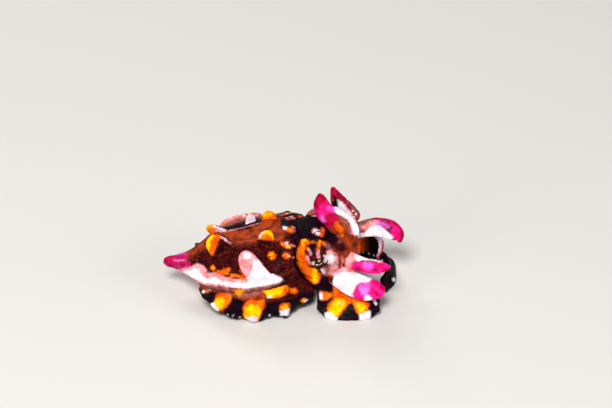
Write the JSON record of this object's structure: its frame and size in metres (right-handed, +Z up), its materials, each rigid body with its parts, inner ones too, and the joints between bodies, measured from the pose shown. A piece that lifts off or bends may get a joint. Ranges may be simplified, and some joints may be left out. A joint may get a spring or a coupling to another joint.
{
  "type": "flamboyant cuttlefish",
  "caption": "Life-size still model of a flamboyant cuttlefish that walks on the bottom with its arms spread and raised.",
  "frame": {"origin": "centre of the bounding box on the ground, under the middle of the mantle", "axes": "+X the way the head faces, +Y the animal's left, +Z up"},
  "size_m": [0.0604, 0.0306, 0.031],
  "materials": {
    "mantle_skin": "wet skin",
    "fin_skin": "wet skin",
    "head_skin": "wet skin",
    "arm_skin": "wet skin",
    "keel_skin": "wet skin",
    "eye": "clear wet cornea",
    "lips": "wet skin"
  },
  "bodies": {
    "root": {"mantle": "mantle_skin", "fin_right": "fin_skin", "fin_left": "fin_skin", "head": "head_skin", "funnel": "head_skin", "eye_right": "eye", "eye_left": "eye", "mouth": "lips", "arm_1_right_base": "arm_skin", "arm_1_right_tip": "arm_skin", "arm_1_left_base": "arm_skin", "arm_1_left_tip": "arm_skin", "arm_2_right_base": "arm_skin", "arm_2_right_tip": "arm_skin", "arm_2_left_base": "arm_skin", "arm_2_left_tip": "arm_skin", "arm_3_right_base": "arm_skin", "arm_3_right_tip": "arm_skin", "arm_3_left_base": "arm_skin", "arm_3_left_tip": "arm_skin", "arm_4_right_base": "keel_skin", "arm_4_right_tip": "keel_skin", "arm_4_left_base": "keel_skin", "arm_4_left_tip": "keel_skin"}
  },
  "joints": []
}
